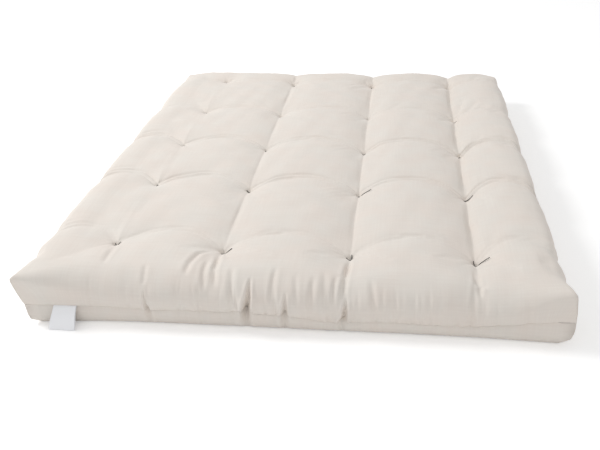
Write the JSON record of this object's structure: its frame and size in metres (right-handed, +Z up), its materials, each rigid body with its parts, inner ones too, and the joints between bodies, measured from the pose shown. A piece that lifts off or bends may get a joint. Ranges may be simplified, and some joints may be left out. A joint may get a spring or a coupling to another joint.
{
  "type": "futon mattress",
  "caption": "Hand-tufted cotton futon mattress with a pillowed top, boxed corners, a low closing seam and a sewn-in label loop.",
  "frame": {"origin": "centre of the underside, where the mattress rests", "axes": "+X across the width, +Y along the length away from the labelled end, +Z up"},
  "size_m": [1.6, 2.0415, 0.1768],
  "materials": {
    "ticking": "plain-woven unbleached cotton, matt",
    "cotton_felt": "carded cotton batting",
    "sewing_thread": "twisted cotton thread",
    "tufting_twine": "waxed black twine",
    "label_tape": "white woven tape, bare"
  },
  "bodies": {
    "mattress": {"cover_top": "ticking", "cover_bottom": "ticking", "closing_seam_thread": "sewing_thread", "upper_seam_thread_front_left": "sewing_thread", "lower_seam_thread_front_left": "sewing_thread", "upper_seam_thread_front_right": "sewing_thread", "lower_seam_thread_front_right": "sewing_thread", "upper_seam_thread_back_right": "sewing_thread", "lower_seam_thread_back_right": "sewing_thread", "upper_seam_thread_back_left": "sewing_thread", "lower_seam_thread_back_left": "sewing_thread", "felt_layer_1": "cotton_felt", "felt_layer_2": "cotton_felt", "felt_layer_3": "cotton_felt", "felt_layer_4": "cotton_felt", "felt_layer_5": "cotton_felt", "felt_layer_6": "cotton_felt", "felt_layer_7": "cotton_felt", "tuft_r1_c1": "tufting_twine", "tuft_r1_c2": "tufting_twine", "tuft_r1_c3": "tufting_twine", "tuft_r1_c4": "tufting_twine", "tuft_r2_c1": "tufting_twine", "tuft_r2_c2": "tufting_twine", "tuft_r2_c3": "tufting_twine", "tuft_r2_c4": "tufting_twine", "tuft_r3_c1": "tufting_twine", "tuft_r3_c2": "tufting_twine", "tuft_r3_c3": "tufting_twine", "tuft_r3_c4": "tufting_twine", "tuft_r4_c1": "tufting_twine", "tuft_r4_c2": "tufting_twine", "tuft_r4_c3": "tufting_twine", "tuft_r4_c4": "tufting_twine", "tuft_r5_c1": "tufting_twine", "tuft_r5_c2": "tufting_twine", "tuft_r5_c3": "tufting_twine", "tuft_r5_c4": "tufting_twine"},
    "label": {"label": "label_tape"}
  },
  "joints": [
    {"name": "label_lift", "type": "hinge", "parent": "mattress", "child": "label", "pos_m": [-0.677, -1.0012, 0.054], "axis": [-1, 0, 0], "range_deg": [0, 135]}
  ]
}
